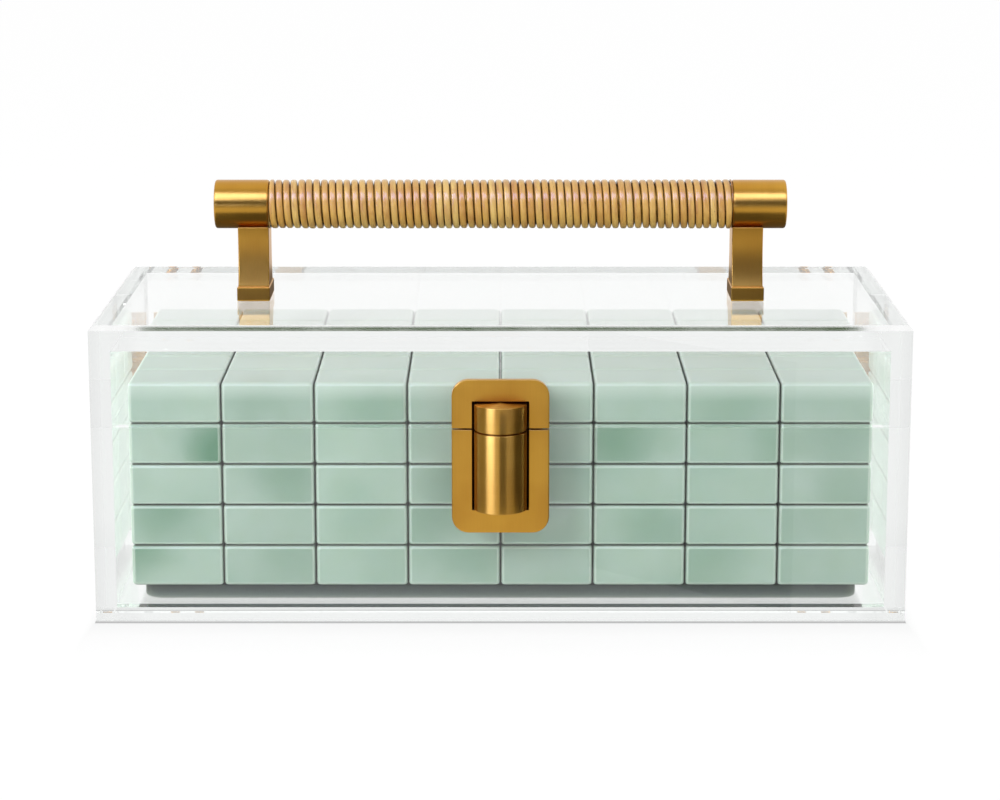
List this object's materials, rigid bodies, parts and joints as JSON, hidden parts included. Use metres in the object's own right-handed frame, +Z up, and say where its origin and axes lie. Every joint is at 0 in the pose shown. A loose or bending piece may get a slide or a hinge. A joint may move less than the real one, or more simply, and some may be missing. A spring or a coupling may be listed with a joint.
{
  "type": "mahjong case",
  "caption": "Clear box full of plain stone tiles, with a deep hinged lid, a brass barrel latch in front and a brass carrying handle wound with cane.",
  "frame": {"origin": "centre of the case's footprint, on the surface that it stands on", "axes": "+Z up; the latch faces -Y; +X along the handle, to the right as seen from the front"},
  "size_m": [0.263, 0.1301, 0.1372],
  "materials": {
    "clear_acrylic": "clear, polished edges",
    "felt_pad": "pressed felt",
    "green_stone": "polished",
    "polished_brass": "polished",
    "plain_brass": "satin",
    "cane": "split cane, lightly varnished"
  },
  "bodies": {
    "base": {"base_floor": "clear_acrylic", "base_front_wall": "clear_acrylic", "base_back_wall": "clear_acrylic", "base_left_wall": "clear_acrylic", "base_right_wall": "clear_acrylic", "tile_pad": "felt_pad", "tile_layer_1": "green_stone", "tile_layer_2": "green_stone", "tile_layer_3": "green_stone", "tile_layer_4": "green_stone", "tile_layer_5": "green_stone", "latch_lower_plate": "polished_brass", "latch_lower_backing": "plain_brass", "latch_spindle": "plain_brass", "latch_lower_screws": "plain_brass", "hinge_lower_leaf_left": "polished_brass", "hinge_lower_leaf_right": "polished_brass", "hinge_pin_left": "plain_brass", "hinge_pin_right": "plain_brass", "hinge_lower_screws": "plain_brass"},
    "lid": {"lid_top": "clear_acrylic", "lid_front_wall": "clear_acrylic", "lid_back_wall": "clear_acrylic", "lid_left_wall": "clear_acrylic", "lid_right_wall": "clear_acrylic", "handle_post_left": "polished_brass", "handle_post_right": "polished_brass", "handle_cap_left": "polished_brass", "handle_cap_right": "polished_brass", "handle_rod": "plain_brass", "cane_wrap": "cane", "latch_upper_plate": "polished_brass", "latch_upper_backing": "plain_brass", "latch_fixed_barrel": "polished_brass", "latch_catch": "plain_brass", "latch_upper_screws": "plain_brass", "hinge_upper_leaf_left": "polished_brass", "hinge_upper_leaf_right": "polished_brass", "hinge_upper_screws": "plain_brass"},
    "barrel": {"latch_barrel": "polished_brass"}
  },
  "joints": [
    {"name": "lid_hinge", "type": "hinge", "parent": "base", "child": "lid", "pos_m": [0, 0.05935, 0.0646], "axis": [-1, 0, 0], "range_deg": [0, 100]},
    {"name": "latch_turn", "type": "hinge", "parent": "base", "child": "barrel", "pos_m": [0, -0.06005, 0.05], "axis": [0, 0, 1], "range_deg": [0, 60]}
  ]
}
